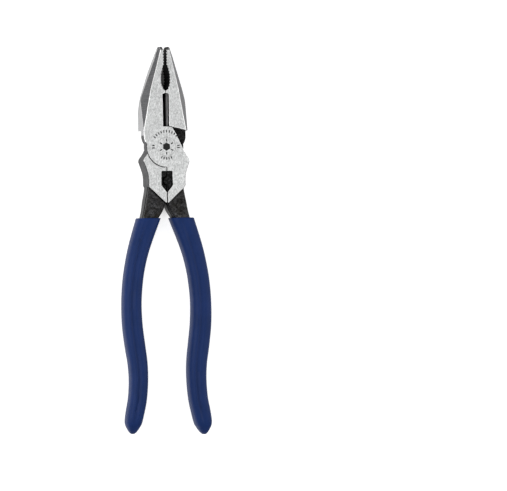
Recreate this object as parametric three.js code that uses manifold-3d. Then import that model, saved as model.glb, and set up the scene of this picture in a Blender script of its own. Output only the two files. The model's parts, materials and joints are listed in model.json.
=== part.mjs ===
// Lineman pliers with a pipe grip, side cutters and a crimper: two forged halves that lap over
// each other on one flush rivet, with a dipped plastic grip on each handle.
//
// Millimetres. +Y points to the nose, +Z out of the front face, +X to the right as seen from the front.
// The origin is on the rivet's axis, in the plane of the rear ground face.
// Each half is drawn as it lies when the pliers are shut, and its group then turns it open by half of
// REST_OPENING. The rear half is the front half turned over about the Y axis, except for the crimper,
// where the front half carries the tooth and the rear half the nest.
import * as THREE from 'three';
import { mergeVertices } from 'three/addons/utils/BufferGeometryUtils.js';
import Module from 'manifold-3d';

const wasm = await Module();
wasm.setup();

// ---------------------------------------------------------------- driving dimensions
const THICKNESS = 13;
const LAP = THICKNESS / 2; // the halves meet in the middle plane
const LAP_CLEARANCE = 0.05; // on each side of the middle plane
const REST_OPENING = 0.5; // degrees between the halves, with the knives just apart
const BEYOND = 1; // how far a cutting tool runs past the faces it cuts
const PAST_MIDDLE = 3; // how far a tool that cuts the inner side of a half runs past the middle
const FAR = 80; // past everything a tool has to clear

// Joint
const DISC_RADIUS = 11.5;
const SEAT_RADIUS = 11.6; // the hollow in the other half that the disc turns in
const SHOULDER_DISTANCE = 11.65; // from the rivet's axis to the shoulder under the jaw
const SHOULDER_ANGLE = 77.5; // direction of the shoulder's normal, from +X
const RIVET_RADIUS = 4.5;
const RIVET_HEAD_RADIUS = 5.3;
const RIVET_HEAD_DEPTH = 1.2;
const RIVET_CLEARANCE = 0.08;
const ROUND_SIDES = 48;

// Jaws
const TIP_Y = 56;
const TIP_CORNER = [-3.4, TIP_Y - 0.9];
const JAW_WIDTH = 12.95; // from the middle to the outer side of one jaw
const JAW_CORNER_Y = 26.5; // where the nose's straight taper meets the straight side
const JAW_CORNER_ROUNDING = 3;
const SHUT_GAP = 0.03; // from the middle to the faces that meet when the pliers shut
const NOSE_GAP = 0.5; // from the middle to the teeth of the nose
// The nose thins towards its tip, a little on the front face and more on the rear: length, depth
const FRONT_TAPER = [1.8, 1.4];
const REAR_TAPER = [14, 6.1];
// The ground bevels along the outer side of each jaw, as rows of y, x where the bevel meets the face,
// and how steeply it falls away: on the front of each half, then on the back of both
const FRONT_HALF_BEVEL = [
  [60, -0.9, 1.9], [53, -2.6, 1.9], [48, -4.0, 1.7], [32.5, -8.3, 2], [12, -12.3, 1.9], [5, -13.6, 1.9],
];
const REAR_HALF_BEVEL = [
  [60, -0.8, 1.9], [53, -2.5, 1.9], [48, -3.7, 1.6], [33, -7.2, 1.5], [9, -11.5, 1.5], [5, -12.3, 1.5],
];
const BACK_BEVEL = [
  [60, 3.5, 1.9], [53, 0, 1.9], [43, -5.2, 1.9], [38, -7.1, 1.9], [19.5, -12.9, 1.9], [15, -14.3, 1.9],
];

// Side cutters
const KNIFE_BOTTOM = 11.5;
const KNIFE_TOP = 30;
const KNIFE_ARCH = 0.8;
const KNIFE_WALL = 1.75; // from the middle to the pocket's side at the face
const KNIFE_BEVEL = 1.45; // from the middle to where the pocket's wall turns into the knife's bevel
const KNIFE_WALL_DEPTH = 1.6;

// Teeth of the pipe grip and the nose
const PIPE_BOTTOM = 31.2;
const PIPE_TOP = 46.2;
const TOOTH_PITCH = 1.6;
const TOOTH_DEPTH = 0.55;
// Distance from the middle to the teeth: y, distance
const GAP_DEPTHS = [
  [PIPE_BOTTOM, 0.2], [32.9, 1.3], [35.4, 2.2], [39.9, 2.2], [42.6, 1.7], [44.6, 1.1],
  [PIPE_TOP, NOSE_GAP], [TIP_Y + 5, NOSE_GAP],
];

// Crimper
const SLIT = 0.2; // from the middle to each half, above and below the crimper
const WINDOW_WIDTH = 3.2; // from the middle to the window's side
const WINDOW_TOP = -13.6;
const WINDOW_SHOULDER = -21.8;
const WINDOW_BOTTOM = -25.6;
const WINDOW_CORNER = 0.8;
const DIE_RECESS = 1.7;
const DIE_Y = -19.2;
const DIE_HALF_HEIGHT = 1.7;
const DIE_TOOTH_REACH = 1.5;
const DIE_NEST_REACH = 2.25;
const DIE_NEST_MOUTH = 1; // how much further the nest opens above and below the tooth

// Lower edge of the ground faces: a V from the crotch to the outer side of each half
const HEAD_SIDE = 10.6;
const V_SIDE = [10.4, -22.1];
const V_CROTCH = [0.8, -31.2];
const STEP_RUN = 0.7; // the slope under the V, along the tool
const STEP_DEPTH = 1.7; // and down into the handle

// Handles, as rows of x, y, half width and half thickness of the steel, then of the plastic over it.
// Steel thicker than TANG_FRONT lies behind the middle, because the tangs step back from the front face.
const TANG_FRONT = 5;
const HANDLE = [
  [4.8, -25.0, 5.75, 5.5, 5.8, 6.5],
  [6.45, -33.0, 5.6, 5.5, 5.8, 6.5],
  [9.4, -40.5, 4.3, 5.0, 5.9, 6.5],
  [12.4, -48.9, 3.95, 4.6, 5.6, 6.5],
  [15.25, -57.9, 3.7, 4.6, 5.3, 6.5],
  [17.35, -66.8, 3.55, 4.6, 5.1, 6.5],
  [18.85, -76.5, 3.5, 4.6, 5.05, 6.5],
  [19.6, -88.0, 3.45, 4.6, 5.0, 6.5],
  [19.25, -100.0, 3.5, 4.6, 5.1, 6.5],
  [17.8, -112.0, 3.5, 4.6, 5.1, 6.5],
  [16.5, -121.5, 3.35, 4.6, 4.9, 6.5],
  [16.15, -131.0, 3.2, 4.5, 4.7, 6.5],
  [16.85, -141.0, 3.0, 4.3, 4.6, 6.45],
  [18.4, -149.0, 2.3, 3.6, 4.5, 6.35],
];
// Rounded end of the grip, beyond the steel: x, y, half width, half thickness
const GRIP_END = [
  [19.5, -154.6, 4.1, 5.9],
  [19.75, -157.6, 3.0, 4.4],
  [19.8, -159.7, 1.8, 2.7],
  [19.75, -160.7, 0.8, 1.2],
];
const DIP_LINE_Y = -39.9; // the grips' upper edge
const GRIP_CAVITY_CLEARANCE = 0.3;
const STEEL_SQUARENESS = 5; // exponent of the section's superellipse
const GRIP_SQUARENESS = 3.2;
const SECTION_SIDES = 16;
const STATIONS_PER_ROW = 1.5;

const GROUND_STEEL = { color: 0xc4c6c8, roughness: 0.38, metalness: 1 };
const RIVET_STEEL = { color: 0xb4b6b8, roughness: 0.35, metalness: 1 };
const NAVY_PLASTIC = { color: 0x1f3468, roughness: 0.42, metalness: 0 };

// ---------------------------------------------------------------- solids
function toSolid(geometry) {
  const bare = geometry.clone();
  bare.deleteAttribute('normal');
  bare.deleteAttribute('uv');
  const merged = mergeVertices(bare, 1e-5);
  return new wasm.Manifold(new wasm.Mesh({
    numProp: 3,
    vertProperties: new Float32Array(merged.attributes.position.array),
    triVerts: new Uint32Array(merged.index.array),
  }));
}

function toGeometry(solid) {
  const mesh = solid.getMesh();
  const geometry = new THREE.BufferGeometry();
  geometry.setAttribute('position', new THREE.BufferAttribute(new Float32Array(mesh.vertProperties), 3));
  geometry.setIndex(new THREE.BufferAttribute(new Uint32Array(mesh.triVerts), 1));
  geometry.computeVertexNormals();
  return geometry;
}

function prism(outline, zLow, zHigh) {
  const shape = new THREE.Shape(outline.map(([x, y]) => new THREE.Vector2(x, y)));
  const geometry = new THREE.ExtrudeGeometry(shape, { depth: zHigh - zLow, bevelEnabled: false });
  geometry.translate(0, 0, zLow);
  return toSolid(geometry);
}

function through(outline) {
  return prism(outline, -BEYOND, THICKNESS + BEYOND);
}

// A closed skin over rings of equal length, each ring a list of [x, y, z], with a fan over each end.
function loft(rings) {
  const count = rings[0].length;
  const centre = (ring) => ring[0].map((_, axis) => ring.reduce((sum, p) => sum + p[axis], 0) / count);
  const points = [...rings.flat(), centre(rings[0]), centre(rings.at(-1))];
  const lastRing = (rings.length - 1) * count;
  const faces = [];
  for (let side = 0; side < count; side++) {
    const next = (side + 1) % count;
    for (let row = 0; row < lastRing; row += count) {
      faces.push([row + side, row + next, row + count + next]);
      faces.push([row + side, row + count + next, row + count + side]);
    }
    faces.push([points.length - 2, next, side]);
    faces.push([points.length - 1, lastRing + side, lastRing + next]);
  }
  const volume = faces.reduce((sum, face) => {
    const [a, b, c] = face.map((index) => new THREE.Vector3(...points[index]));
    return sum + a.dot(b.cross(c));
  }, 0);
  const outward = volume > 0 ? faces : faces.map(([a, b, c]) => [a, c, b]);
  const geometry = new THREE.BufferGeometry();
  geometry.setAttribute('position', new THREE.Float32BufferAttribute(points.flat(), 3));
  geometry.setIndex(outward.flat());
  return toSolid(geometry);
}

// ---------------------------------------------------------------- outlines
function arc(radius, fromDegrees, toDegrees, steps) {
  return Array.from({ length: steps + 1 }, (_, i) => {
    const angle = THREE.MathUtils.degToRad(fromDegrees + ((toDegrees - fromDegrees) * i) / steps);
    return [radius * Math.cos(angle), radius * Math.sin(angle)];
  });
}

function bend(from, control, to, steps) {
  const curve = new THREE.QuadraticBezierCurve(
    new THREE.Vector2(...from), new THREE.Vector2(...control), new THREE.Vector2(...to),
  );
  return curve.getPoints(steps).map((p) => p.toArray());
}

// The corner between two straight edges, rounded from a given distance before it to the same after it.
function roundedCorner(before, corner, after, distance, steps) {
  const cut = (end) => {
    const from = new THREE.Vector2(...corner);
    const along = new THREE.Vector2(...end).sub(from).setLength(distance);
    return from.add(along).toArray();
  };
  return bend(cut(before), corner, cut(after), steps);
}

function spline(points, steps) {
  const curve = new THREE.SplineCurve(points.map((p) => new THREE.Vector2(...p)));
  return curve.getPoints(steps).map((p) => p.toArray());
}

// Height of the shoulder under the left jaw's rear layer at a given x.
function shoulderY(x) {
  const angle = THREE.MathUtils.degToRad(180 - SHOULDER_ANGLE);
  return (SHOULDER_DISTANCE - x * Math.cos(angle)) / Math.sin(angle);
}

// Front half seen from the front, without its handle: left jaw, disc, then the boss at the lower right.
// It starts at the tip and goes down the outer side of the jaw.
function headOutline() {
  return [
    [-NOSE_GAP, TIP_Y - 1.6],
    [-NOSE_GAP - 0.8, TIP_Y],
    [TIP_CORNER[0] + 0.7, TIP_Y],
    TIP_CORNER,
    ...roundedCorner(TIP_CORNER, [-JAW_WIDTH, JAW_CORNER_Y], [-JAW_WIDTH, 0], JAW_CORNER_ROUNDING, 4),
    ...bend([-JAW_WIDTH, 6.4], [-JAW_WIDTH + 0.1, 3.4], arc(DISC_RADIUS, 172, 172, 1)[0], 4),
    ...arc(DISC_RADIUS, 176, 271, 19),
    [SLIT, V_CROTCH[1]],
    V_CROTCH,
    V_SIDE,
    ...spline([
      [HEAD_SIDE, -21.6], [HEAD_SIDE, -18.2], [10.95, -15.2], [12, -11.7], [13.1, -8.8],
      [13.25, -7.7], [12.8, -6.4], [11.5, -4.8], [10.5, -3.2], [9.3, -0.7],
    ], 18),
    ...spline([[8.8, 0.5], [7.8, 2.6], [6.8, 4.7], [5.8, 7], [4.7, 8.9]], 6),
    ...arc(DISC_RADIUS, 72, 90, 4),
    [0, PIPE_BOTTOM],
  ];
}

// Inner edge of the crimping die below the window's top: a tooth on one half, a nest on the other.
function dieOutline(top, halfHeight, reach, edge) {
  const half = (side) => bend(
    [-reach / 2, DIE_Y + side * halfHeight * 0.85], [-reach, DIE_Y + side * halfHeight * 0.75],
    [-reach, DIE_Y + side * halfHeight * 0.1], 4,
  );
  return [
    [PAST_MIDDLE, top], [edge, top], [edge, DIE_Y + halfHeight], ...half(1), ...half(-1).reverse(),
    [edge, DIE_Y - halfHeight], [PAST_MIDDLE, DIE_Y - halfHeight],
  ];
}

function toothOutline() {
  return dieOutline(WINDOW_TOP, DIE_HALF_HEIGHT, DIE_TOOTH_REACH, SLIT);
}

function nestOutline() {
  const halfHeight = DIE_HALF_HEIGHT + DIE_NEST_MOUTH;
  return dieOutline(DIE_Y + halfHeight + 0.01, halfHeight, DIE_NEST_REACH, -SLIT);
}

function windowOutline() {
  const left = [
    ...bend([-WINDOW_WIDTH + WINDOW_CORNER, WINDOW_TOP], [-WINDOW_WIDTH, WINDOW_TOP],
      [-WINDOW_WIDTH, WINDOW_TOP - WINDOW_CORNER], 4),
    ...bend([-WINDOW_WIDTH, WINDOW_SHOULDER + 1], [-WINDOW_WIDTH, WINDOW_SHOULDER],
      [-WINDOW_WIDTH + 0.7, WINDOW_SHOULDER - 0.9], 4),
    [-0.1, WINDOW_BOTTOM],
  ];
  return [...left, ...left.map(([x, y]) => [-x, y]).reverse()];
}

// Pipe grip and nose gap: the space to the right of the left jaw's teeth, with a groove at each pitch.
function toothedGapOutline() {
  const depthAt = (y) => {
    const upper = GAP_DEPTHS.findIndex(([height]) => height > y);
    const [y0, d0] = GAP_DEPTHS[upper - 1];
    const [y1, d1] = GAP_DEPTHS[upper];
    return THREE.MathUtils.mapLinear(y, y0, y1, d0, d1);
  };
  const outline = [[PAST_MIDDLE, PIPE_BOTTOM], [-SHUT_GAP, PIPE_BOTTOM]];
  for (let y = PIPE_BOTTOM + 0.5; y < TIP_Y + 2; y += TOOTH_PITCH) {
    outline.push([-depthAt(y), y]);
    outline.push([-depthAt(y + TOOTH_PITCH / 2) - TOOTH_DEPTH, y + TOOTH_PITCH / 2]);
  }
  return [...outline, [-NOSE_GAP, TIP_Y + 4], [PAST_MIDDLE, TIP_Y + 4]];
}

// ---------------------------------------------------------------- cutting tools
// Both pockets beside one knife: narrow at the middle plane, wide and arched at the faces.
function knifePockets() {
  const levels = [
    [-BEYOND, KNIFE_WALL], [0, KNIFE_WALL], [KNIFE_WALL_DEPTH, KNIFE_BEVEL], [LAP, 0],
    [THICKNESS - KNIFE_WALL_DEPTH, KNIFE_BEVEL], [THICKNESS, KNIFE_WALL],
    [THICKNESS + BEYOND, KNIFE_WALL],
  ];
  return loft(levels.map(([z, width]) => [
    [PAST_MIDDLE, KNIFE_BOTTOM, z], [PAST_MIDDLE, KNIFE_TOP, z],
    ...[0, 0.4, 0.7, 0.9, 1].map((part) => [
      -width * part, KNIFE_TOP - KNIFE_ARCH * (1 - Math.sqrt(1 - part * part)), z,
    ]),
    [-width, KNIFE_BOTTOM, z],
  ]));
}

// Takes the bevel off a jaw's outer corner, on the face at side 1 (own front) or -1 (own back).
function jawBevel(side, rows) {
  const across = 4.4;
  const outside = -JAW_WIDTH - across;
  return loft(rows.map(([y, x, steepness]) => {
    const place = (px, depth) => [px, y, LAP + side * (LAP - depth)];
    return [
      place(x + BEYOND / steepness, -BEYOND),
      place(x - across, across * steepness),
      place(outside - across, across * steepness),
      place(outside - across, -BEYOND),
    ];
  }));
}

function tipTaper(side, [length, depth]) {
  const place = (x, y, down) => [x, y, LAP + side * (LAP - down)];
  const slope = depth / length;
  return loft([-20, 5].map((x) => [
    place(x, TIP_Y - length - BEYOND / slope, -BEYOND),
    place(x, TIP_Y + 1, depth + slope),
    place(x, TIP_Y + 3, depth + slope),
    place(x, TIP_Y + 3, -BEYOND),
  ]));
}

// Takes away the half's rear layer where the other half's disc and jaw shoulder turn.
function lapCut() {
  const top = LAP + LAP_CLEARANCE;
  const disc = prism(arc(SEAT_RADIUS, 0, 360, ROUND_SIDES * 2).slice(1), -BEYOND, top);
  const neck = prism([[-20, 0], [6, 0], [6, shoulderY(6)], [-20, shoulderY(-20)]], -BEYOND, top);
  return disc.add(neck);
}

function rivetProfile(clearance, end) {
  const shank = RIVET_RADIUS + clearance;
  const head = RIVET_HEAD_RADIUS + clearance;
  return [
    [0, -end], [head, -end], [head, 0], [shank, RIVET_HEAD_DEPTH],
    [shank, THICKNESS - RIVET_HEAD_DEPTH], [head, THICKNESS],
    [head, THICKNESS + end], [0, THICKNESS + end],
  ];
}

function turned(profile) {
  const geometry = new THREE.LatheGeometry(profile.map((p) => new THREE.Vector2(...p)), ROUND_SIDES);
  geometry.rotateX(Math.PI / 2);
  return toSolid(geometry);
}

// ---------------------------------------------------------------- handles
// Rings across a handle's path, from rows of x, y, half width and half thickness. frontLimit gives how
// far a ring may reach towards the object's front (1 where that is +Z, -1 where it is -Z).
function handleRings(rows, squareness, frontSide = 1, frontLimit = Infinity) {
  const curve = (points) => new THREE.CatmullRomCurve3(points, false, 'catmullrom');
  const path = curve(rows.map(([x, y]) => new THREE.Vector3(x, y, LAP)));
  const size = curve(rows.map(([, , width, thickness]) => new THREE.Vector3(width, thickness, 0)));
  const stations = Math.round((rows.length - 1) * STATIONS_PER_ROW);
  return Array.from({ length: stations + 1 }, (_, station) => {
    const centre = path.getPoint(station / stations);
    const along = path.getTangent(station / stations);
    const { x: halfWidth, y: halfThickness } = size.getPoint(station / stations);
    return Array.from({ length: SECTION_SIDES }, (__, side) => {
      const angle = ((side + 0.5) / SECTION_SIDES) * 2 * Math.PI;
      const across = halfWidth * rounded(Math.cos(angle), squareness);
      const up = halfThickness * rounded(Math.sin(angle), squareness);
      const back = frontSide * Math.max(0, halfThickness - frontLimit);
      return [centre.x - along.y * across, centre.y + along.x * across, LAP + up - back];
    });
  });
}

function rounded(value, squareness) {
  return Math.sign(value) * Math.abs(value) ** (2 / squareness);
}

// The handle's steel, made larger all round by clearance.
function steelHandle(frontSide, clearance) {
  const rows = HANDLE.map(([x, y, width, thickness]) => [x, y, width + clearance, thickness + clearance]);
  return loft(handleRings(rows, STEEL_SQUARENESS, frontSide, TANG_FRONT + clearance));
}

function grip(frontSide) {
  const plastic = HANDLE.map(([x, y, , , width, thickness]) => [x, y, width, thickness]);
  const outer = loft(handleRings([...plastic, ...GRIP_END], GRIP_SQUARENESS));
  const aboveDip = through([[-FAR, DIP_LINE_Y], [FAR, DIP_LINE_Y], [FAR, 0], [-FAR, 0]]);
  return outer.subtract(steelHandle(frontSide, GRIP_CAVITY_CLEARANCE)).subtract(aboveDip);
}

// ---------------------------------------------------------------- one forged half
// The ground head, with a short slope under the V where the ground faces end.
function head() {
  const inside = 1; // the slope's solid reaches this far up into the head
  const slope = loft([[0, 0], [STEP_RUN, STEP_DEPTH]].map(([run, depth]) => [
    [V_SIDE[0], V_SIDE[1] + inside, depth], [V_SIDE[0], V_SIDE[1] - run, depth],
    [V_CROTCH[0], V_CROTCH[1] - run, depth], [V_CROTCH[0], V_CROTCH[1] + inside, depth],
  ]));
  const rearSlope = slope.mirror([0, 0, 1]).translate([0, 0, THICKNESS]);
  return prism(headOutline(), 0, THICKNESS).add(slope).add(rearSlope);
}

// Everything a handle must not cross: the other half's side of the middle, below the joint.
function pastMiddle() {
  return through([[SLIT, -SEAT_RADIUS], [SLIT, -FAR], [-FAR, -FAR], [-FAR, -SEAT_RADIUS]]);
}

// Past the plane where the two jaws meet.
function pastJawFace() {
  const top = TIP_Y + BEYOND;
  const low = DISC_RADIUS;
  return through([[-SHUT_GAP, low], [PAST_MIDDLE, low], [PAST_MIDDLE, top], [-SHUT_GAP, top]]);
}

function forgedHalf(isFront) {
  const frontSide = isFront ? 1 : -1; // the rear half is turned over when it is put together
  let half = head().add(steelHandle(frontSide, 0).subtract(pastMiddle()));
  half = half.subtract(lapCut());
  half = half.subtract(jawBevel(frontSide, isFront ? FRONT_HALF_BEVEL : REAR_HALF_BEVEL));
  half = half.subtract(jawBevel(-frontSide, BACK_BEVEL));
  half = half.subtract(tipTaper(frontSide, FRONT_TAPER)).subtract(tipTaper(-frontSide, REAR_TAPER));
  half = half.subtract(knifePockets()).subtract(through(toothedGapOutline())).subtract(pastJawFace());
  if (isFront) {
    half = half.add(prism(toothOutline(), 0, THICKNESS));
  } else {
    half = half.subtract(through(mirrored(nestOutline())));
  }
  for (const z of [THICKNESS - DIE_RECESS, -BEYOND]) {
    half = half.subtract(prism(windowOutline(), z, z + DIE_RECESS + BEYOND));
  }
  return half.subtract(turned(rivetProfile(RIVET_CLEARANCE, BEYOND)));
}

function mirrored(outline) {
  return outline.map(([x, y]) => [-x, y]).reverse();
}

// ---------------------------------------------------------------- assembly
function piece(name, solid, look) {
  const mesh = new THREE.Mesh(toGeometry(solid), new THREE.MeshStandardMaterial(look));
  mesh.name = name;
  return mesh;
}

function half(name, isFront) {
  const group = new THREE.Group();
  group.add(piece(`${name}_half`, forgedHalf(isFront), GROUND_STEEL));
  group.add(piece(`${name}_half_grip`, grip(isFront ? 1 : -1), NAVY_PLASTIC));
  if (!isFront) {
    for (const mesh of group.children) {
      mesh.rotation.y = Math.PI;
      mesh.position.z = THICKNESS;
    }
  }
  group.rotation.z = THREE.MathUtils.degToRad((isFront ? 0.5 : -0.5) * REST_OPENING);
  return group;
}

const pliers = new THREE.Group();
pliers.add(half('front', true), half('rear', false));
pliers.add(piece('rivet', turned(rivetProfile(0, 0)), RIVET_STEEL));

export default pliers;
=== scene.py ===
"""Looks of the lineman pliers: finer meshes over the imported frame, materials, lights and camera.

Everything is in metres in the frame of the part: +Y to the nose, +Z out of the front face, +X to the
right as seen from the front. Each half's own coordinates are those of the front half, with the jaws
shut; the rear half is the same shape turned over about the Y axis.
"""

import json
import math

import bmesh
import bpy
import numpy as np
from mathutils import Matrix, Vector

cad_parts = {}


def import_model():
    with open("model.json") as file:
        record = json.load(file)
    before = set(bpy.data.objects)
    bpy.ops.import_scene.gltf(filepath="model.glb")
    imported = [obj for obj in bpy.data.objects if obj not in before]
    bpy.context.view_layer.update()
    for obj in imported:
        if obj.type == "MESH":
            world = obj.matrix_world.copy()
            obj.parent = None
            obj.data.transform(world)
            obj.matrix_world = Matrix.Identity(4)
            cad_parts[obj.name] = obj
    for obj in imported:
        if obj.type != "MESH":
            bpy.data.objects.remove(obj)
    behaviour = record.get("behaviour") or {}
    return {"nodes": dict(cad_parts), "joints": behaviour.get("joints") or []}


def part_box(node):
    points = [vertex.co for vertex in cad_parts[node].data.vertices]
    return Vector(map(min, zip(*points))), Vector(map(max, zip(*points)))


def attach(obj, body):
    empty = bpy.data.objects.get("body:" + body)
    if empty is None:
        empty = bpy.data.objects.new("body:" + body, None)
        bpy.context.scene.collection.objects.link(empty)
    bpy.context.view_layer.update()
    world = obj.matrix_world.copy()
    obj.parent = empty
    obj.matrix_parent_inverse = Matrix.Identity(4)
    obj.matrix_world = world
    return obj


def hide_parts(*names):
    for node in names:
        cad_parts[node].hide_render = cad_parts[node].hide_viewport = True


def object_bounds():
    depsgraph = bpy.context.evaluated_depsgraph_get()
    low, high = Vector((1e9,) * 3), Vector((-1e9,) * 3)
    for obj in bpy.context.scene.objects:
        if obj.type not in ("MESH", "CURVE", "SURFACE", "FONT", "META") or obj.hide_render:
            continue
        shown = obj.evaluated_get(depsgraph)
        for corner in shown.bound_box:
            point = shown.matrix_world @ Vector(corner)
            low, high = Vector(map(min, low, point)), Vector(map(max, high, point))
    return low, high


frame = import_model()
cad_low, cad_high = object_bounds()

MM = 0.001
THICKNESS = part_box("rivet")[1].z
RIVET_RADIUS = (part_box("rivet")[1].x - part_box("rivet")[0].x) / 2
REST_OPENING = math.radians(-frame["joints"][0]["range_deg"][0])  # the joint's lower stop is shut
GROUND_BOTTOM_SIDE = Vector((10.4, -22.1)) * MM  # the V where the ground faces end
GROUND_BOTTOM_MIDDLE = Vector((0.8, -31.2)) * MM
PIPE_BOTTOM_Y = 31.0 * MM  # the pipe grip's lower end
SEAM_RADIUS = 11.55 * MM  # between the disc of one half and the seat of the other
KNIFE_SHADE_DEPTH = 3.7 * MM  # below this the knives' bevels are painted black as shade
EDGE_ROUNDING = 0.22 * MM
SHARP_ANGLE = math.radians(27)
WELD_DISTANCE = 0.002 * MM
FLAT_ENOUGH = math.radians(0.1)  # faces that differ by less than this are joined


# ---------------------------------------------------------------- mesh helpers
def half_matrix(side):
    """From a half's own coordinates to the frame's, at rest."""
    if side == "front":
        return Matrix.Rotation(REST_OPENING / 2, 4, "Z")
    turned_over = Matrix.Translation((0, 0, THICKNESS)) @ Matrix.Rotation(math.pi, 4, "Y")
    return Matrix.Rotation(-REST_OPENING / 2, 4, "Z") @ turned_over


def new_object(name, mesh):
    piece = bpy.data.objects.new(name, mesh)
    bpy.context.scene.collection.objects.link(piece)
    return piece


def object_from_bmesh(name, bm):
    bmesh.ops.recalc_face_normals(bm, faces=bm.faces)
    mesh = bpy.data.meshes.new(name)
    bm.to_mesh(mesh)
    bm.free()
    return new_object(name, mesh)


def apply_modifiers(piece):
    shown = piece.evaluated_get(bpy.context.evaluated_depsgraph_get())
    mesh = bpy.data.meshes.new_from_object(shown)
    piece.modifiers.clear()
    piece.data = mesh


def prism(outline, low, high, matrix):
    """A closed mesh of an outline in millimetres between two levels, in a half's own coordinates."""
    bm = bmesh.new()
    rings = [[bm.verts.new((x * MM, y * MM, z * MM)) for x, y in outline] for z in (low, high)]
    bm.faces.new(rings[0])
    bm.faces.new(rings[1])
    for i in range(len(outline)):
        j = (i + 1) % len(outline)
        bm.faces.new((rings[0][i], rings[0][j], rings[1][j], rings[1][i]))
    bmesh.ops.transform(bm, matrix=matrix, verts=bm.verts)
    return object_from_bmesh("tool", bm)


def loft(name, rings, matrix):
    """A closed mesh over rings of equally many points, moved from a half's own coordinates."""
    bm = bmesh.new()
    loops = [[bm.verts.new(p) for p in ring] for ring in rings]
    count = len(loops[0])
    for low, high in zip(loops, loops[1:]):
        for i in range(count):
            j = (i + 1) % count
            bm.faces.new((low[i], low[j], high[j], high[i]))
    bm.faces.new(loops[0])
    bm.faces.new(loops[-1])
    bmesh.ops.transform(bm, matrix=matrix, verts=bm.verts)
    return object_from_bmesh(name, bm)


def joined_marks(tools):
    """Several closed meshes that don't touch, as one, in the steel of the stamped marks."""
    bm = bmesh.new()
    for tool in tools:
        bm.from_mesh(tool.data)
        bpy.data.objects.remove(tool)
    cutters = object_from_bmesh("marks", bm)
    cutters.data.materials.append(STEELS[MARK])
    return cutters


def combine(piece, tool, operation):
    """Joins or cuts with a tool, which is used up. The cut faces take the tool's material."""
    step = piece.modifiers.new("combine", "BOOLEAN")
    step.object = tool
    step.operation = operation
    step.solver = "EXACT"
    step.material_mode = "TRANSFER"
    apply_modifiers(piece)
    bpy.data.objects.remove(tool)


def smooth(piece, angle=SHARP_ANGLE):
    piece.data.shade_smooth()
    piece.data.set_sharp_from_angle(angle=angle)


def keep_faces_flat(piece):
    """Shades large flat faces flat right up to the rounded edges beside them."""
    weigh = piece.modifiers.new("flat_faces", "WEIGHTED_NORMAL")
    weigh.mode = "FACE_AREA"
    weigh.weight = 100
    weigh.keep_sharp = True
    apply_modifiers(piece)


# ---------------------------------------------------------------- materials
class Nodes:
    """A node material under construction, on one Principled shader."""

    def __init__(self, name):
        self.material = bpy.data.materials.new(name)
        self.material.use_nodes = True
        self.tree = self.material.node_tree
        self.shader = self.tree.nodes["Principled BSDF"]
        self.place = self.tree.nodes.new("ShaderNodeTexCoord").outputs["Object"]

    def link(self, out, to):
        self.tree.links.new(out, to)

    def stretched(self, scale):
        node = self.tree.nodes.new("ShaderNodeMapping")
        node.inputs["Scale"].default_value = scale
        self.link(self.place, node.inputs["Vector"])
        return node.outputs["Vector"]

    def noise(self, size, detail=3.0, roughness=0.55, stretch=(1, 1, 1)):
        """Noise between 0 and 1 with features of about the given size, in metres."""
        node = self.tree.nodes.new("ShaderNodeTexNoise")
        self.link(self.stretched(stretch), node.inputs["Vector"])
        node.inputs["Scale"].default_value = 1 / size
        node.inputs["Detail"].default_value = detail
        node.inputs["Roughness"].default_value = roughness
        return node.outputs["Fac"]

    def ramp(self, value, stops):
        """A colour ramp over (position, colour) stops."""
        node = self.tree.nodes.new("ShaderNodeValToRGB")
        self.link(value, node.inputs["Fac"])
        elements = node.color_ramp.elements
        while len(elements) < len(stops):
            elements.new(0.5)
        for element, (position, colour) in zip(elements, stops):
            element.position = position
            element.color = (*colour, 1)
        return node.outputs["Color"]

    def span(self, value, low, high):
        """Value from 0.3 to 0.7 spread over low to high."""
        node = self.tree.nodes.new("ShaderNodeMapRange")
        node.inputs["From Min"].default_value = 0.3
        node.inputs["From Max"].default_value = 0.7
        node.inputs["To Min"].default_value = low
        node.inputs["To Max"].default_value = high
        self.link(value, node.inputs["Value"])
        return node.outputs["Result"]

    def mix(self, factor, first, second):
        node = self.tree.nodes.new("ShaderNodeMix")
        node.data_type = "RGBA"
        if isinstance(factor, (int, float)):
            node.inputs["Factor"].default_value = factor
        else:
            self.link(factor, node.inputs["Factor"])
        for value, name in ((first, "A"), (second, "B")):
            socket = [s for s in node.inputs if s.name == name and s.type == "RGBA"][0]
            self.link(value, socket)
        return [s for s in node.outputs if s.type == "RGBA"][0]

    def bump(self, height, depth, strength, under=None):
        node = self.tree.nodes.new("ShaderNodeBump")
        node.inputs["Distance"].default_value = depth
        node.inputs["Strength"].default_value = strength
        self.link(height, node.inputs["Height"])
        if under is not None:
            self.link(under, node.inputs["Normal"])
        return node.outputs["Normal"]

    def finish(self, colour, roughness, normal, metallic=1.0):
        self.link(colour, self.shader.inputs["Base Color"])
        self.link(roughness, self.shader.inputs["Roughness"])
        self.link(normal, self.shader.inputs["Normal"])
        self.shader.inputs["Metallic"].default_value = metallic
        return self.material


def ground_steel():
    """Faces of the head, ground flat with a fine grain."""
    n = Nodes("ground_steel")
    grain = n.noise(1.1 * MM, detail=6, roughness=0.95, stretch=(1.3, 0.7, 1))
    patches = n.noise(7 * MM, detail=2)
    colour = n.mix(
        0.3,
        n.ramp(grain, [(0.40, (0.30, 0.305, 0.305)), (0.60, (0.90, 0.91, 0.905))]),
        n.ramp(patches, [(0.35, (0.46, 0.465, 0.465)), (0.65, (0.66, 0.67, 0.67))]),
    )
    fine = n.noise(0.4 * MM, detail=2, stretch=(1, 0.4, 1))
    return n.finish(colour, n.span(grain, 0.46, 0.58), n.bump(fine, 0.03 * MM, 0.4))


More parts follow.
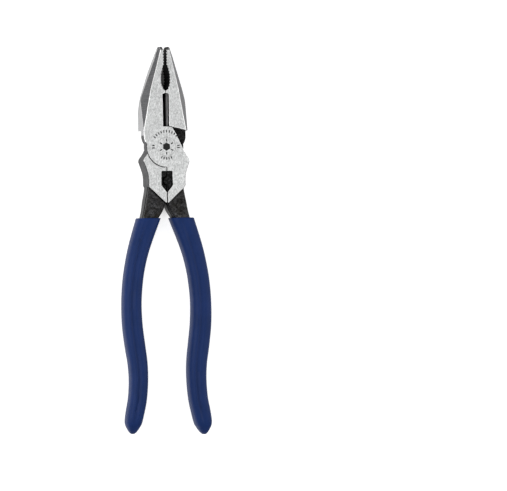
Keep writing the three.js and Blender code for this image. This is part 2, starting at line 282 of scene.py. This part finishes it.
def bevel_painted_shade():
    """Jaw bevels: ground steel painted dark grey as painted shade, with grinding marks across."""
    n = Nodes("bevel_painted_shade")
    across = n.noise(0.6 * MM, detail=3, stretch=(0.15, 1.4, 0.15))
    grain = n.noise(0.4 * MM, detail=4, roughness=0.7)
    colour = n.mix(
        0.5,
        n.ramp(across, [(0.35, (0.07, 0.07, 0.074)), (0.65, (0.16, 0.16, 0.165))]),
        n.ramp(grain, [(0.35, (0.06, 0.06, 0.064)), (0.65, (0.17, 0.17, 0.175))]),
    )
    return n.finish(colour, n.span(grain, 0.38, 0.5), n.bump(across, 0.03 * MM, 0.5))


def side_steel():
    """Outer walls of the jaws: trimmed and lightly ground."""
    n = Nodes("side_steel")
    along = n.noise(0.7 * MM, detail=3, stretch=(0.4, 0.12, 1.2))
    grain = n.noise(0.5 * MM, detail=4, roughness=0.7)
    colour = n.mix(
        0.5,
        n.ramp(along, [(0.35, (0.30, 0.30, 0.305)), (0.65, (0.46, 0.46, 0.465))]),
        n.ramp(grain, [(0.35, (0.28, 0.28, 0.285)), (0.65, (0.48, 0.48, 0.485))]),
    )
    return n.finish(colour, n.span(grain, 0.36, 0.48), n.bump(along, 0.03 * MM, 0.35))


def black_oxide():
    """Forged surfaces left black, with brown patches and a pitted skin."""
    n = Nodes("black_oxide")
    skin = n.noise(1.0 * MM, detail=7, roughness=0.95)
    patches = n.noise(4.5 * MM, detail=3)
    colour = n.mix(
        n.span(patches, 0.0, 1.0),
        n.ramp(skin, [(0.44, (0.001, 0.001, 0.001)), (0.58, (0.090, 0.091, 0.097))]),
        n.ramp(skin, [(0.42, (0.001, 0.001, 0.001)), (0.62, (0.046, 0.043, 0.038))]),
    )
    pits = n.bump(skin, 0.25 * MM, 0.8)
    return n.finish(colour, n.span(patches, 0.40, 0.54), pits, metallic=1.0)


def black_scale_and_painted_shade():
    """Recesses and pockets: black scale with a few grey flecks; on the knives' deep bevels, between the
    knives and on the pipe grip's teeth it is painted shade.
    """
    n = Nodes("black_scale_and_painted_shade")
    flecks = n.noise(1.4 * MM, detail=4, roughness=0.8)
    colour = n.ramp(flecks, [(0.50, (0.001, 0.001, 0.001)), (0.64, (0.045, 0.045, 0.047))])
    n.shader.inputs["Specular IOR Level"].default_value = 0.12
    return n.finish(colour, n.span(flecks, 0.6, 0.7), n.bump(flecks, 0.1 * MM, 0.5), metallic=0.0)


def flank_oxide():
    """Sides of the boss and tangs: the oxide worn to a dark grey by handling."""
    n = Nodes("flank_oxide")
    skin = n.noise(1.2 * MM, detail=4, roughness=0.8)
    patches = n.noise(3.5 * MM, detail=3)
    colour = n.mix(
        0.5,
        n.ramp(skin, [(0.40, (0.018, 0.018, 0.019)), (0.62, (0.095, 0.095, 0.099))]),
        n.ramp(patches, [(0.35, (0.028, 0.028, 0.029)), (0.65, (0.080, 0.080, 0.083))]),
    )
    n.shader.inputs["Specular IOR Level"].default_value = 0.15
    return n.finish(colour, n.span(skin, 0.45, 0.6), n.bump(skin, 0.12 * MM, 0.6), metallic=0.45)


def knife_steel():
    """The knives' bevels: ground and dull."""
    n = Nodes("knife_steel")
    along = n.noise(0.9 * MM, detail=3, stretch=(1.5, 0.2, 0.6))
    colour = n.ramp(along, [(0.35, (0.40, 0.40, 0.405)), (0.65, (0.60, 0.60, 0.605))])
    return n.finish(colour, n.span(along, 0.5, 0.6), n.bump(along, 0.02 * MM, 0.4), metallic=0.5)


def rim_highlight():
    """Rounded edges of the ground faces, painted near white as a painted highlight along them."""
    n = Nodes("rim_highlight")
    grain = n.noise(0.5 * MM)
    colour = n.ramp(grain, [(0.35, (0.80, 0.80, 0.80)), (0.65, (0.95, 0.95, 0.95))])
    return n.finish(colour, n.span(grain, 0.34, 0.46), n.bump(grain, 0.02 * MM, 0.3))


def mark_fill():
    """Bottom of the stamped marks."""
    n = Nodes("mark_fill")
    grain = n.noise(0.3 * MM)
    colour = n.ramp(grain, [(0.35, (0.003, 0.003, 0.003)), (0.65, (0.02, 0.02, 0.02))])
    return n.finish(colour, n.span(grain, 0.5, 0.65), n.bump(grain, 0.03 * MM, 0.3), metallic=0.6)


def navy_plastic():
    """Dipped plastic: deep blue, semi-gloss, with the faint ripple of a dip."""
    n = Nodes("navy_plastic")
    ripple = n.noise(6 * MM, detail=2, stretch=(1, 0.5, 1))
    peel = n.noise(0.7 * MM, detail=3)
    colour = n.mix(
        0.35,
        n.ramp(ripple, [(0.3, (0.0075, 0.0220, 0.088)), (0.7, (0.0105, 0.0280, 0.116))]),
        n.ramp(peel, [(0.3, (0.0070, 0.0210, 0.083)), (0.7, (0.0110, 0.0290, 0.122))]),
    )
    normal = n.bump(peel, 0.03 * MM, 0.25, under=n.bump(ripple, 0.25 * MM, 0.3))
    n.shader.inputs["Specular IOR Level"].default_value = 0.08
    return n.finish(colour, n.span(peel, 0.40, 0.48), normal, metallic=0.0)


STEELS = [
    ground_steel(), bevel_painted_shade(), side_steel(), black_oxide(), black_scale_and_painted_shade(), flank_oxide(),
    knife_steel(), rim_highlight(), mark_fill(),
]
GROUND, BEVEL, SIDE, OXIDE, POCKET, FLANK, KNIFE, RIM_HIGHLIGHT, MARK = range(len(STEELS))
NAVY = navy_plastic()


# ---------------------------------------------------------------- sections along a handle
def catmull_rom(rows, place):
    """The rows' smooth curve at place, where each row is one unit along."""
    rows = np.array(rows, float)
    ends = np.vstack([2 * rows[0] - rows[1], rows, 2 * rows[-1] - rows[-2]])
    i = min(int(place), len(rows) - 2)
    t = place - i
    p0, p1, p2, p3 = ends[i:i + 4]
    bend = 2 * p0 - 5 * p1 + 4 * p2 - p3 + t * (3 * (p1 - p2) + p3 - p0)
    return p1 + t / 2 * (p2 - p0 + t * bend)


def direction(rows, place):
    """Unit direction of the rows' path in the X-Y plane."""
    end = len(rows) - 1
    reach = 0.01
    step = catmull_rom(rows, min(place + reach, end)) - catmull_rom(rows, max(place - reach, 0))
    return Vector((step[0], step[1], 0)).normalized()


# ---------------------------------------------------------------- forged halves
# Rows of x, y, half width, and the levels of the back and front faces of the bare steel handle, in
# millimetres, with +Z towards the object's front
TANG_ROWS = [
    (3.6, -17.0, 6.4, 0.5, 11.5),
    (4.8, -25.0, 5.8, 0.5, 11.5),
    (6.45, -33.0, 5.65, 0.5, 11.5),
    (9.4, -40.5, 4.3, 1.5, 11.5),
    (12.4, -48.9, 3.95, 1.9, 11.1),
    (15.25, -57.9, 3.7, 1.9, 11.1),
    (17.35, -66.8, 3.55, 1.9, 11.1),
    (18.85, -76.5, 3.5, 1.9, 11.1),
    (19.6, -88.0, 3.45, 1.9, 11.1),
    (19.25, -100.0, 3.5, 1.9, 11.1),
    (17.8, -112.0, 3.5, 1.9, 11.1),
    (16.5, -121.5, 3.35, 1.9, 11.1),
    (16.15, -131.0, 3.2, 2.0, 11.0),
    (16.85, -141.0, 3.0, 2.2, 10.8),
    (18.4, -149.0, 2.3, 2.9, 10.1),
]
# One side of the section, from back to front: how far in from the side, and height between the faces.
# The trimmed flank ends in a groove, with a rounded shoulder above it.
TANG_SIDE = [
    (1.3, 0.0), (0.62, 0.018), (0.2, 0.05), (0.0, 0.11), (0.0, 0.66), (0.06, 0.70), (0.34, 0.735),
    (0.42, 0.765), (0.34, 0.80), (0.28, 0.85), (0.36, 0.91), (0.62, 0.96), (1.0, 0.99), (1.5, 1.0),
]
TANG_STATIONS_PER_ROW = 5
SLIT = 0.2  # from the middle to each half below the joint
ABOVE_V = 1.0  # how far above the V the bare handle's own shape begins
BELOW_V = 0.75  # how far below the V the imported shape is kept
BEYOND_FACES = (-2, 16)  # levels of cutting tools that pass both faces
CUT_LEFT, CUT_RIGHT, CUT_TOP, CUT_BOTTOM = -30, 60, 60, -170  # well outside a half
OTHER_HALF_TOP, OTHER_HALF_BOTTOM = 5, -60  # of the tool that trims the handle along the slit


def bare_handle(side):
    """The steel handle from just above the V to its end inside the grip."""
    end = len(TANG_ROWS) - 1
    rings = []
    for i in range(end * TANG_STATIONS_PER_ROW + 1):
        place = i / TANG_STATIONS_PER_ROW
        x, y, half_width, back, front = catmull_rom(TANG_ROWS, place)
        along = direction(TANG_ROWS, place)
        across = Vector((-along.y, along.x, 0))
        depth = front - back
        one_side = [(half_width - inset, back + height * depth) for inset, height in TANG_SIDE]
        section = one_side + [(-a, z) for a, z in reversed(one_side)]
        ring = []
        for a, z in section:
            own_z = z if side == "front" else THICKNESS / MM - z
            ring.append((Vector((x, y, own_z)) + across * a) * MM)
        rings.append(ring)
    return loft("handle", rings, half_matrix(side))


def v_line(above):
    """Two points far out on the line of the V's edge, moved up by so many millimetres."""
    middle, edge = GROUND_BOTTOM_MIDDLE / MM, GROUND_BOTTOM_SIDE / MM
    slope = (edge.y - middle.y) / (edge.x - middle.x)
    return [(x, middle.y + (x - middle.x) * slope + above) for x in (CUT_LEFT, CUT_RIGHT)]


def with_bare_handle(piece, side):
    """Swaps the handle under the V for the finer one."""
    matrix = half_matrix(side)
    handle = bare_handle(side)
    above_v = [*v_line(ABOVE_V), (CUT_RIGHT, CUT_TOP), (CUT_LEFT, CUT_TOP)]
    other_half = [
        (SLIT, OTHER_HALF_TOP), (SLIT, OTHER_HALF_BOTTOM),
        (CUT_LEFT, OTHER_HALF_BOTTOM), (CUT_LEFT, OTHER_HALF_TOP),
    ]
    below_v = [*v_line(-BELOW_V), (CUT_RIGHT, CUT_BOTTOM), (CUT_LEFT, CUT_BOTTOM)]
    combine(handle, prism(above_v, *BEYOND_FACES, matrix), "DIFFERENCE")
    combine(handle, prism(other_half, *BEYOND_FACES, matrix), "DIFFERENCE")
    combine(piece, prism(below_v, *BEYOND_FACES, matrix), "DIFFERENCE")
    combine(piece, handle, "UNION")


# Plain marks cut into the disc and the rivet: arcs of upright bars, as start and end angles in degrees,
# number of bars, and radius to their middles in millimetres
BAR_ARCS = [(142, 46, 10, 8.6), (244, 294, 5, 6.6), (185, 175, 2, 7.6), (5, -5, 2, 6.9)]
BAR_HEIGHT, BAR_WIDTH = 1.45, 0.6
RIVET_BAR_RADIUS = 3.7
HEXAGON_RADIUS = 2.3
MARK_DEPTH = 0.15 * MM
MARK_LEVELS = ((THICKNESS - MARK_DEPTH) / MM, (THICKNESS - MARK_DEPTH) / MM + 1)


def bar(angle, radius):
    """A bar pointing away from the middle, as a cutting tool for the front face."""
    corners = [(-1, -1), (1, -1), (1, 1), (-1, 1)]
    outline = [(radius + a * BAR_HEIGHT / 2, b * BAR_WIDTH / 2) for a, b in corners]
    return prism(outline, *MARK_LEVELS, half_matrix("front") @ Matrix.Rotation(angle, 4, "Z"))


def disc_marks():
    bars = []
    for start, end, count, radius in BAR_ARCS:
        for i in range(count):
            bars.append(bar(math.radians(start + (end - start) * i / (count - 1)), radius))
    return joined_marks(bars)


def rivet_marks():
    """A ring of short bars round a hexagon, on the rivet's front end."""
    corners = [math.radians(60 * i + 30) for i in range(6)]
    bars = [bar(angle, RIVET_BAR_RADIUS) for angle in corners]
    hexagon = [(HEXAGON_RADIUS * math.cos(a), HEXAGON_RADIUS * math.sin(a)) for a in corners]
    return joined_marks([*bars, prism(hexagon, *MARK_LEVELS, half_matrix("front"))])


# What tells a half's surfaces apart, in its own coordinates. A slope is how much the normal points
# along Z, from 0 on an upright wall to 1 on a level face.
TOUCHING = 0.01 * MM
STEP_RUN = 0.9 * MM  # how far below the V the step down to the bare handle reaches
KNIFE_LEFT_X, KNIFE_RIGHT_X = -2.6 * MM, 0.5 * MM
KNIFE_BOTTOM_Y = 11 * MM
KNIFE_SLOPES = (0.22, 0.6)
UPRIGHT_SLOPE = 0.1  # of the teeth and the jaws' outer walls, at most
WALL_SLOPE = 0.2  # of the sides of the boss and handle, at most
LEVEL_SLOPE = 0.99  # of the ground faces, at least
HANDLE_OUTSIDE_X = 3 * MM
TEETH_REACH_X = 3.4 * MM
JAW_INSIDE_X, JAW_BOTTOM_Y = -3 * MM, 6 * MM
NOSE_END_Y = 50 * MM
JOINT_INSIDE_X, JOINT_INSIDE_RADIUS = 4 * MM, 8 * MM


def is_below_ground_face(x, y, above):
    """True below the V where the ground faces end, with the V moved up by above, in a half's own
    coordinates."""
    run = (y - above - GROUND_BOTTOM_MIDDLE.y) / (GROUND_BOTTOM_SIDE.y - GROUND_BOTTOM_MIDDLE.y)
    return x > GROUND_BOTTOM_MIDDLE.x + run * (GROUND_BOTTOM_SIDE.x - GROUND_BOTTOM_MIDDLE.x)


def is_between_knives(centre):
    return KNIFE_LEFT_X < centre.x < KNIFE_RIGHT_X and KNIFE_BOTTOM_Y < centre.y < PIPE_BOTTOM_Y


def is_knife_bevel(centre, normal):
    """True on the knives' sloping faces, in a half's own coordinates."""
    least, most = KNIFE_SLOPES
    return is_between_knives(centre) and least < abs(normal.z) < most


def steel_finish(centre, normal):
    """Which steel a face of a half has, from its place and direction in the half's own coordinates."""
    slope = abs(normal.z)
    under_face = THICKNESS - centre.z
    if is_below_ground_face(centre.x, centre.y, above=TOUCHING):
        below_step = is_below_ground_face(centre.x, centre.y, above=-STEP_RUN)
        if slope > WALL_SLOPE and not below_step:
            return POCKET
        return FLANK if slope < WALL_SLOPE and centre.x > HANDLE_OUTSIDE_X else OXIDE
    if slope > LEVEL_SLOPE and min(centre.z, under_face) < TOUCHING:
        return GROUND
    # the pipe grip's teeth are painted black as the shade in the deep grip
    if abs(centre.x) < TEETH_REACH_X and centre.y > PIPE_BOTTOM_Y and slope < UPRIGHT_SLOPE:
        return POCKET
    # the knives' bevels deeper than the shade depth are painted black as shade
    if is_knife_bevel(centre, normal):
        return POCKET if KNIFE_SHADE_DEPTH < centre.z < THICKNESS - KNIFE_SHADE_DEPTH else KNIFE
    # the other faces between the knives are painted black as shade
    if is_between_knives(centre):
        return POCKET
    # the jaws' bevels and the nose's end take the steel painted dark as shade
    if centre.y > JAW_BOTTOM_Y and centre.x < JAW_INSIDE_X:
        return BEVEL if slope > UPRIGHT_SLOPE else SIDE
    if centre.y > NOSE_END_Y:
        return BEVEL
    outside = centre.xy.length > JOINT_INSIDE_RADIUS and abs(centre.x) > JOINT_INSIDE_X
    faces_out = normal.xy.dot(centre.xy) > 0
    return FLANK if slope < WALL_SLOPE and outside and faces_out else POCKET


def bevel_weights(bm, to_own):
    """Rounds each outer edge of the ground steel as far as the edges beside it leave room for.
    The slit, the teeth, the rivet's hole and the bare handle stay sharp."""
    near_face = 0.05 * MM
    slit_half_width = 1.5 * MM
    round_hole = 6 * MM
    below_v = 0.8 * MM
    elsewhere = 0.4  # of the rounding of the front face's edges
    share_of_room = 0.4
    layer = bm.edges.layers.float.new("bevel_weight_edge")
    for edge in bm.edges:
        if len(edge.link_faces) != 2 or not edge.is_convex or edge.calc_face_angle(0) < SHARP_ANGLE:
            continue
        steels = {face.material_index for face in edge.link_faces}
        if not {GROUND, BEVEL, SIDE} & steels:
            continue
        middle = (edge.verts[0].co + edge.verts[1].co) / 2
        own = to_own @ middle
        on_front = middle.z > THICKNESS - near_face
        in_slit = abs(own.x) < slit_half_width and own.y < -SEAM_RADIUS
        on_teeth = POCKET in steels and own.y > PIPE_BOTTOM_Y
        if in_slit or on_teeth or own.xy.length < round_hole:
            continue
        if is_below_ground_face(own.x, own.y, above=-below_v):
            continue
        beside = [e.calc_length() for v in edge.verts for e in v.link_edges if e is not edge]
        room = share_of_room * min([edge.calc_length(), *beside])
        edge[layer] = min(1.0 if on_front else elsewhere, room / EDGE_ROUNDING)


def darken_rims(piece, to_own):
    """Takes the painted highlight off the rounded edges along the disc's seam and round the boss, and
    blackens them.
    """
    seam_reach = 0.35 * MM
    boss_top_y, boss_inside_x = -8 * MM, 6 * MM
    for face in piece.data.polygons:
        own = to_own @ face.center
        on_seam = abs(own.xy.length - SEAM_RADIUS) < seam_reach
        on_boss = own.y < boss_top_y and own.x > boss_inside_x
        if face.material_index == RIM_HIGHLIGHT and (on_seam or on_boss):
            face.material_index = POCKET


def forging(side):
    node = f"{side}_half"
    to_own = half_matrix(side).inverted()
    rough = bmesh.new()
    rough.from_mesh(frame["nodes"][node].data)
    bmesh.ops.remove_doubles(rough, verts=rough.verts, dist=WELD_DISTANCE)
    piece = object_from_bmesh(f"{side}_forging", rough)
    with_bare_handle(piece, side)
    bm = bmesh.new()
    bm.from_mesh(piece.data)
    bmesh.ops.remove_doubles(bm, verts=bm.verts, dist=WELD_DISTANCE)
    bmesh.ops.dissolve_limit(bm, angle_limit=FLAT_ENOUGH, verts=bm.verts, edges=bm.edges)
    # split the knives' bevels where their painted shade begins
    for level in (KNIFE_SHADE_DEPTH, THICKNESS - KNIFE_SHADE_DEPTH):
        knife = [f for f in bm.faces if is_knife_bevel(to_own @ f.calc_center_median(), f.normal)]
        around = {item for f in knife for item in (f, *f.edges, *f.verts)}
        bmesh.ops.bisect_plane(bm, geom=list(around), plane_co=(0, 0, level), plane_no=(0, 0, 1))
    bm.normal_update()
    for face in bm.faces:
        own_normal = to_own.to_3x3() @ face.normal
        face.material_index = steel_finish(to_own @ face.calc_center_median(), own_normal)
    bevel_weights(bm, to_own)
    piece.data.materials.clear()
    for steel in STEELS:
        piece.data.materials.append(steel)
    bm.to_mesh(piece.data)
    bm.free()
    edges = piece.modifiers.new("edges", "BEVEL")
    # the rounded edges take the steel with the painted highlight
    edges.material = RIM_HIGHLIGHT
    edges.limit_method = "WEIGHT"
    edges.width = EDGE_ROUNDING
    edges.segments = 2
    edges.use_clamp_overlap = False
    edges.loop_slide = False
    apply_modifiers(piece)
    darken_rims(piece, to_own)
    if side == "front":
        combine(piece, disc_marks(), "DIFFERENCE")
    smooth(piece)
    keep_faces_flat(piece)
    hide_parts(node)
    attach(piece, side)
    return piece


# ---------------------------------------------------------------- rivet
def rivet():
    steps = 96
    chamfer = 0.05 * MM
    shank = RIVET_RADIUS * 0.85
    head_depth = 1.2 * MM
    half = [(0, 0), (RIVET_RADIUS - chamfer, 0), (RIVET_RADIUS, chamfer), (shank, head_depth)]
    profile = half + [(r, THICKNESS - z) for r, z in reversed(half)]
    bm = bmesh.new()
    rings = []
    for r, z in profile:
        if r == 0:
            rings.append([bm.verts.new((0, 0, z))] * steps)
        else:
            turns = [2 * math.pi * i / steps for i in range(steps)]
            rings.append([bm.verts.new((r * math.cos(a), r * math.sin(a), z)) for a in turns])
    for low, high in zip(rings, rings[1:]):
        for i in range(steps):
            j = (i + 1) % steps
            corners = dict.fromkeys([low[i], low[j], high[j], high[i]])
            bm.faces.new(corners)
    piece = object_from_bmesh("rivet_pin", bm)
    piece.data.materials.append(STEELS[GROUND])
    combine(piece, rivet_marks(), "DIFFERENCE")
    smooth(piece)
    keep_faces_flat(piece)
    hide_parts("rivet")
    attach(piece, "front")
    return piece


# ---------------------------------------------------------------- grips
# Rows of x, y, half width and half thickness of the plastic, then of the hollow in it, in millimetres
GRIP_ROWS = [
    (4.8, -25.0, 5.8, 6.5, 6.05, 5.8),
    (6.45, -33.0, 5.8, 6.5, 5.9, 5.8),
    (9.4, -40.5, 5.9, 6.5, 4.6, 5.3),
    (12.4, -48.9, 5.6, 6.5, 4.25, 4.9),
    (15.25, -57.9, 5.3, 6.5, 4.0, 4.9),
    (17.35, -66.8, 5.1, 6.5, 3.85, 4.9),
    (18.85, -76.5, 5.05, 6.5, 3.8, 4.9),
    (19.6, -88.0, 5.0, 6.5, 3.75, 4.9),
    (19.25, -100.0, 5.1, 6.5, 3.8, 4.9),
    (17.8, -112.0, 5.1, 6.5, 3.8, 4.9),
    (16.5, -121.5, 4.9, 6.5, 3.65, 4.9),
    (16.15, -131.0, 4.7, 6.5, 3.5, 4.8),
    (16.85, -141.0, 4.6, 6.45, 3.3, 4.6),
    (18.4, -149.0, 4.5, 6.35, 2.6, 3.9),
    (19.5, -154.6, 4.1, 5.9, 0, 0),
    (19.75, -157.6, 3.0, 4.4, 0, 0),
    (19.8, -159.7, 1.8, 2.7, 0, 0),
    (19.75, -160.7, 0.8, 1.2, 0, 0),
]
GRIP_TOP_Y = -39.9
# The two grips differ a little. For each: more half width, further outward, and lower at the tip.
DIP = {"front": (0.55, 0.0, 1.5), "rear": (0.3, 0.25, 0.0)}
GRIP_SQUARENESS = 3.2
HOLLOW_SQUARENESS = 5.0
LIP_ROUNDING = 0.5
CREASE_DEPTH = 1.0  # of the soft crease along each broad side
CREASE_PLACE = 0.15  # to the left of the middle as seen from the front, in half widths
CREASE_SPREAD = 0.17
CREASE_FADE_TOP, CREASE_FADE_BOTTOM = 12, 10  # the lengths it fades over, below the lip and at its end
CREASE_BOTTOM_Y = -158
LOWERED_FROM_Y, LOWERED_OVER = -130, 30  # where a lower tip starts to differ, and over what length
FULL_WIDTH = 4.1  # half width from which all of the extra width is added
SKIN, HOLLOW = 2, 4  # columns of the rows
SECTION_STEPS = 96
SKIN_STATIONS_PER_ROW = 9
HOLLOW_STATIONS_PER_ROW = 4
LIP_STEPS = 5
BELOW_LIP = {SKIN: 0.35, HOLLOW: 0.25}  # where the plain rings start, in rows
GRIP_SHARP_ANGLE = math.radians(50)


def superellipse(half_width, half_thickness, squareness, angle):
    c, s = math.cos(angle), math.sin(angle)
    power = 2 / squareness
    return (
        half_width * math.copysign(abs(c) ** power, c),
        half_thickness * math.copysign(abs(s) ** power, s),
    )


def share(value):
    return min(1.0, max(0.0, value))


def grip_ring(side, place, column, squareness, inset=0.0, level_y=None):
    """One ring of the grip's skin or hollow, in the half's own coordinates. With level_y the ring is
    slid along the handle onto that level."""
    row = catmull_rom(GRIP_ROWS, place)
    if column == SKIN:
        wider, outward, lower = DIP[side]
        row[0] += outward
        row[1] -= lower * max(0.0, (LOWERED_FROM_Y - row[1]) / LOWERED_OVER)
        row[2] += wider * share(row[2] / FULL_WIDTH)
    along = direction(GRIP_ROWS, place)
    across = Vector((-along.y, along.x, 0))
    crease_across = -CREASE_PLACE if side == "front" else CREASE_PLACE
    fade = share((GRIP_TOP_Y - row[1]) / CREASE_FADE_TOP)
    fade *= share((row[1] - CREASE_BOTTOM_Y) / CREASE_FADE_BOTTOM)
    half_width, half_thickness = row[column] - inset, row[column + 1] - inset
    points = []
    for i in range(SECTION_STEPS):
        angle = 2 * math.pi * (i + 0.5) / SECTION_STEPS
        a, b = superellipse(half_width, half_thickness, squareness, angle)
        if column == SKIN:
            from_crease = a / row[2] - crease_across
            b -= math.copysign(fade * CREASE_DEPTH * math.exp(-(from_crease / CREASE_SPREAD) ** 2), b)
        point = Vector((row[0], row[1], THICKNESS / MM / 2 + b)) + across * a
        if level_y is not None:
            point += along * ((level_y - point.y) / along.y)
        points.append(point * MM)
    return points


def place_at_level(y):
    """Where along the grip's rows its centreline passes a level."""
    low, high = 0.0, len(GRIP_ROWS) - 1.0
    for _ in range(40):
        middle = (low + high) / 2
        low, high = (middle, high) if catmull_rom(GRIP_ROWS, middle)[1] > y else (low, middle)
    return low


def grip(side):
    top = place_at_level(GRIP_TOP_Y)
    last = len(GRIP_ROWS) - 1
    hollow_last = [row[HOLLOW] for row in GRIP_ROWS].index(0) - 1
    rings = []
    # the hollow, from its far end up to the lip
    steps = int((hollow_last - top) * HOLLOW_STATIONS_PER_ROW)
    for i in range(steps + 1):
        place = hollow_last + (top + BELOW_LIP[HOLLOW] - hollow_last) * i / steps
        rings.append(grip_ring(side, place, HOLLOW, HOLLOW_SQUARENESS))
    rings.append(grip_ring(side, top, HOLLOW, HOLLOW_SQUARENESS, level_y=GRIP_TOP_Y))
    # round the lip onto the skin
    for i in range(LIP_STEPS + 1):
        turn = math.pi / 2 * i / LIP_STEPS
        inset = LIP_ROUNDING * (1 - math.sin(turn))
        level = GRIP_TOP_Y - LIP_ROUNDING * (1 - math.cos(turn))
        rings.append(grip_ring(side, top, SKIN, GRIP_SQUARENESS, inset=inset, level_y=level))
    # and down the skin to the pointed end
    first = top + BELOW_LIP[SKIN]
    steps = int((last - top) * SKIN_STATIONS_PER_ROW)
    for i in range(1, steps + 1):
        rings.append(grip_ring(side, first + (last - first) * i / steps, SKIN, GRIP_SQUARENESS))
    piece = loft(f"{side}_grip", rings, half_matrix(side))
    piece.data.materials.append(NAVY)
    smooth(piece, GRIP_SHARP_ANGLE)
    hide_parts(f"{side}_half_grip")
    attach(piece, side)
    return piece


# ---------------------------------------------------------------- stage, lights, camera
def light_table():
    """White and glowing, except for a painted shadow: a soft dim patch under the head, so that the pipe
    grip is dark.
    """
    material = bpy.data.materials.new("light_table")
    material.use_nodes = True
    tree = material.node_tree
    shader = tree.nodes["Principled BSDF"]
    shader.inputs["Base Color"].default_value = (0.5, 0.5, 0.5, 1)
    shader.inputs["Roughness"].default_value = 0.7
    shader.inputs["Emission Color"].default_value = (1, 1, 1, 1)
    painted_shadow_middle = Vector((1.5, 9, 0)) * MM
    painted_shadow_half_size = Vector((6.0, 45, 1000)) * MM
    from_middle = tree.nodes.new("ShaderNodeVectorMath")
    from_middle.operation = "SUBTRACT"
    from_middle.inputs[1].default_value = painted_shadow_middle
    in_painted_shadow = tree.nodes.new("ShaderNodeVectorMath")
    in_painted_shadow.operation = "DIVIDE"
    in_painted_shadow.inputs[1].default_value = painted_shadow_half_size
    far = tree.nodes.new("ShaderNodeVectorMath")
    far.operation = "LENGTH"
    glow = tree.nodes.new("ShaderNodeMapRange")
    glow.inputs["From Min"].default_value = 0.75
    glow.inputs["From Max"].default_value = 1.1
    glow.inputs["To Max"].default_value = 0.78
    tree.links.new(tree.nodes.new("ShaderNodeTexCoord").outputs["Object"], from_middle.inputs[0])
    tree.links.new(from_middle.outputs["Vector"], in_painted_shadow.inputs[0])
    tree.links.new(in_painted_shadow.outputs["Vector"], far.inputs[0])
    tree.links.new(far.outputs["Value"], glow.inputs["Value"])
    tree.links.new(glow.outputs["Result"], shader.inputs["Emission Strength"])
    return material


def floor():
    size = 4
    gap_under_tool = 0.05 * MM
    bm = bmesh.new()
    bmesh.ops.create_grid(bm, x_segments=1, y_segments=1, size=size)
    bmesh.ops.translate(bm, vec=(0, 0, -gap_under_tool), verts=bm.verts)
    sheet = object_from_bmesh("floor", bm)
    sheet.data.materials.append(light_table())


def softbox(name, azimuth, elevation, distance, size, power, target):
    """An area light aimed at the target. Azimuth 0 is towards the tool's right, 90 towards its nose."""
    a, e = math.radians(azimuth), math.radians(elevation)
    away = Vector((math.cos(a) * math.cos(e), math.sin(a) * math.cos(e), math.sin(e)))
    light = bpy.data.lights.new(name, "AREA")
    light.shape = "RECTANGLE"
    light.size, light.size_y = size
    light.energy = power
    lamp = bpy.data.objects.new(name, light)
    lamp.location = target + away * distance
    lamp.rotation_mode = "QUATERNION"
    lamp.rotation_quaternion = away.to_track_quat("Z", "Y")
    bpy.context.scene.collection.objects.link(lamp)


def world(at_horizon, overhead):
    """White surroundings, brighter overhead."""
    sky = bpy.data.worlds.new("studio")
    sky.use_nodes = True
    tree = sky.node_tree
    height = tree.nodes.new("ShaderNodeSeparateXYZ")
    rise = tree.nodes.new("ShaderNodeMapRange")
    rise.inputs["To Min"].default_value = at_horizon
    rise.inputs["To Max"].default_value = overhead
    towards = tree.nodes.new("ShaderNodeTexCoord").outputs["Generated"]
    tree.links.new(towards, height.inputs["Vector"])
    tree.links.new(height.outputs["Z"], rise.inputs["Value"])
    tree.links.new(rise.outputs["Result"], tree.nodes["Background"].inputs["Strength"])
    tree.nodes["Background"].inputs["Color"].default_value = (1, 1, 1, 1)
    bpy.context.scene.world = sky


def camera():
    """Looks at the front from the left, from far off, with the tool leaning a little to the left."""
    turn = math.radians(16.5)
    lean = math.radians(1.0)
    view_width = 284 * MM
    pivot_left_of_middle = 48.7 * MM
    pivot_above_middle = 55.4 * MM
    lens, sensor = 200, 36
    back = Vector((-math.sin(turn), 0, math.cos(turn)))
    level_right, level_up = Vector((math.cos(turn), 0, math.sin(turn))), Vector((0, 1, 0))
    right = level_right * math.cos(lean) - level_up * math.sin(lean)
    up = level_right * math.sin(lean) + level_up * math.cos(lean)
    pivot = Vector((0, 0, THICKNESS))
    middle_of_view = pivot + right * pivot_left_of_middle - up * pivot_above_middle
    data = bpy.data.cameras.new("camera")
    data.lens = lens
    data.sensor_width = sensor
    data.clip_end = 20
    eye = bpy.data.objects.new("camera", data)
    place = middle_of_view + back * view_width * lens / sensor
    turned = Matrix((right, up, back)).transposed().to_4x4()
    eye.matrix_world = Matrix.Translation(place) @ turned
    bpy.context.scene.collection.objects.link(eye)
    bpy.context.scene.camera = eye


# ---------------------------------------------------------------- assembly
for half in ("front", "rear"):
    forging(half)
    grip(half)
rivet()

floor()
middle = (cad_low + cad_high) / 2
softbox("left_softbox", 180, 42, 0.5, (0.3, 0.6), 1.9, middle)
softbox("right_softbox", 0, 42, 0.6, (0.3, 0.7), 1.7, middle)
world(0.3, 0.48)
bpy.context.scene.view_settings.view_transform = "Standard"
camera()
